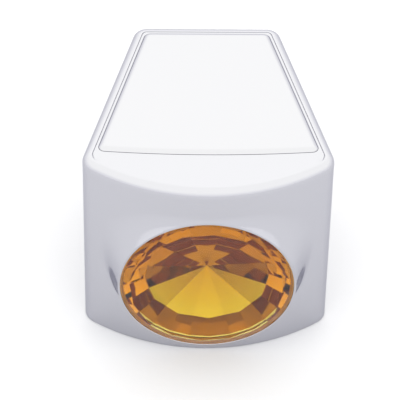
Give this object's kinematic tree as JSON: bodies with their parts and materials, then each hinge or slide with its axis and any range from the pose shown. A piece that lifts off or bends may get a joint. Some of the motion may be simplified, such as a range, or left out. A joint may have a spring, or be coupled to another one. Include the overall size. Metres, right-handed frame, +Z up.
{
  "type": "slide control lever knob",
  "caption": "Keystone-shaped chrome-plated push-on knob for a dashboard slide lever, with a round gem-cut amber stone in its curved front face and a raised panel on top.",
  "frame": {"origin": "on the underside, at the centre of the bounding box seen from above", "axes": "+Z up, -Y out of the front face with the stone, +Y out of the narrow back face that the lever enters, X across"},
  "size_m": [0.0202, 0.02, 0.0185],
  "materials": {
    "chrome_plate": "bright decorative chrome plate on moulded ABS",
    "panel_chrome": "bright polished plate",
    "amber_stone": "polished, gem-cut facets",
    "reflector": "bright pressed cone",
    "cement": "cured clear cement",
    "black_abs": "moulded, fine texture",
    "spring_steel": "rolled spring strip"
  },
  "bodies": {
    "root": {"knob_shell": "chrome_plate", "top_panel": "panel_chrome", "amber_jewel": "amber_stone", "reflector_cup": "reflector", "jewel_cement_ring": "cement", "lever_socket": "black_abs", "grip_clip": "spring_steel", "base_cover": "black_abs"}
  },
  "joints": []
}
